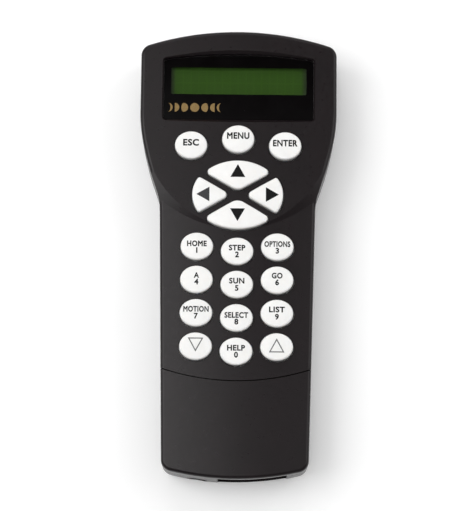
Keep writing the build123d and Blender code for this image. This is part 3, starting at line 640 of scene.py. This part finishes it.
def moon_row(gold):
    """Seven phases of the moon in gold, evenly spaced behind the lens, below the display's left end."""
    low = corners("display_lens")[0] / MM
    radius, gap = 1.75, 0.80
    x, y = low.x + 2.6, low.y + 5.1
    height = low.z * MM + 2.2 * INK_THICKNESS  # just in front of the black print
    phases = ((1, 0.5), (1, 0), (1, -0.5), (1, -1), (-1, -0.5), (-1, 0), (-1, 0.5))
    for index, (side, edge_of_light) in enumerate(phases):
        width = radius * (1 - edge_of_light)
        centre_x = x - radius * edge_of_light if side == 1 else x + radius
        moon = plate(f"moon_mark_{index + 1}", [moon_loop(centre_x, y, radius, side, edge_of_light)])
        behind_lens(moon, height)
        on_body(moon, "case", gold)
        x += width + gap


# ---------------------------------------------------------------- stage, lights and camera
def build_stage():
    """A pale floor that the controller lies on, wide enough for every view."""
    size = 3.0
    mesh = bpy.data.meshes.new("floor")
    points = [(-size, -size, 0), (size, -size, 0), (size, size, 0), (-size, size, 0)]
    mesh.from_pydata(points, [], [(0, 1, 2, 3)])
    floor = bpy.data.objects.new("floor", mesh)
    bpy.context.scene.collection.objects.link(floor)
    floor_gap = 0.02 * MM
    floor.location.z = cad_box[0][2] - floor_gap
    mesh.materials.append(floor_paper())


def soft_light(name, position, target, size, power):
    """A rectangular softbox that points at a target."""
    data = bpy.data.lights.new(name, "AREA")
    data.shape = "RECTANGLE"
    data.size, data.size_y = size
    data.energy = power
    light = bpy.data.objects.new(name, data)
    bpy.context.scene.collection.objects.link(light)
    light.location = position
    aim = Vector(target) - Vector(position)
    light.rotation_euler = aim.to_track_quat("-Z", "Y").to_euler()


def studio_world():
    """A pale studio. Its ceiling is brightest to the left, dim overhead and dark past the display."""
    world = bpy.data.worlds.new("studio")
    world.use_nodes = True
    tree = world.node_tree
    direction = tree.nodes.new("ShaderNodeSeparateXYZ")
    tree.links.new(tree.nodes.new("ShaderNodeTexCoord").outputs["Generated"], direction.inputs["Vector"])

    def ramp(axis, start, end, first, last):
        """A brightness that goes smoothly from first to last as the direction goes from start to end."""
        node = tree.nodes.new("ShaderNodeMapRange")
        node.interpolation_type = "SMOOTHSTEP"
        limits = {"From Min": start, "From Max": end, "To Min": first, "To Max": last}
        for socket, value in limits.items():
            node.inputs[socket].default_value = value
        tree.links.new(direction.outputs[axis], node.inputs["Value"])
        return node.outputs["Result"]

    def product(first, second):
        """Two brightnesses multiplied."""
        node = tree.nodes.new("ShaderNodeMath")
        node.operation = "MULTIPLY"
        tree.links.new(first, node.inputs[0])
        tree.links.new(second, node.inputs[1])
        return node.outputs["Value"]

    # from left to right: fairly bright, brightest, dim overhead, then somewhat brighter again
    left = product(ramp("X", -0.28, -0.15, 0.65, 1.0), ramp("X", -0.13, 0.03, 2.8, 0.52))
    across = product(left, ramp("X", 0.08, 0.22, 1.0, 1.8))
    ceiling = product(across, ramp("Y", 0.21, 0.28, 1.0, 0.02))
    wall_strength = 0.30
    strength = tree.nodes.new("ShaderNodeMix")
    strength.inputs["A"].default_value = wall_strength
    tree.links.new(ramp("Z", 0.80, 0.95, 0.0, 1.0), strength.inputs["Factor"])
    tree.links.new(ceiling, strength.inputs["B"])
    tree.links.new(strength.outputs["Result"], tree.nodes["Background"].inputs["Strength"])
    tree.nodes["Background"].inputs["Color"].default_value = (1, 1, 1, 1)
    bpy.context.scene.world = world


def light_scene():
    """Soft studio light, strongest from the left of the keypad."""
    studio_world()
    aim = (0, 0, 0.02)
    soft_light("key_light", (-0.62, 0.05, 0.78), aim, (0.7, 0.7), 4.8)
    soft_light("fill_light", (0.90, 0.30, 0.75), aim, (0.9, 0.9), 4.2)
    soft_light("back_light", (-0.10, 0.95, 0.70), aim, (1.0, 0.7), 3.2)
    bpy.context.scene.view_settings.view_transform = "Standard"


def add_camera():
    """The photograph's view: nearly straight down on the face, leaning towards the heel."""
    distance = 0.865
    tilt = math.radians(11.0)
    roll = math.radians(0.6)
    view_height = 0.196
    aim_height, aim_toward_heel = 0.020, 0.001
    low, high = cad_box
    middle_x, middle_y = (low[0] + high[0]) / 2, (low[1] + high[1]) / 2
    target = Vector((middle_x, middle_y - aim_toward_heel, aim_height))
    data = bpy.data.cameras.new("camera")
    data.sensor_fit = "VERTICAL"
    data.sensor_height = 24.0
    data.lens = data.sensor_height * distance / view_height
    camera = bpy.data.objects.new("camera", data)
    bpy.context.scene.collection.objects.link(camera)
    back = Vector((0, -math.sin(tilt), math.cos(tilt)))
    camera.location = target + back * distance
    turn = Matrix.Rotation(roll, 3, back)
    right = turn @ Vector((1, 0, 0))
    up = back.cross(right)
    camera.rotation_euler = Matrix((right, up, back)).transposed().to_euler()
    bpy.context.scene.camera = camera


dress_cad_nodes()
black_ink = legend_ink("black_ink", (0.003, 0.003, 0.003))
grey_ink = legend_ink("grey_ink", (0.10, 0.10, 0.10))
print_key_words(black_ink)
print_arrows(black_ink, legend_ink("faded_ink", (0.035, 0.035, 0.036)), grey_ink)
lens_print(lens_black())
moon_row(gold_ink())
build_stage()
light_scene()
add_camera()
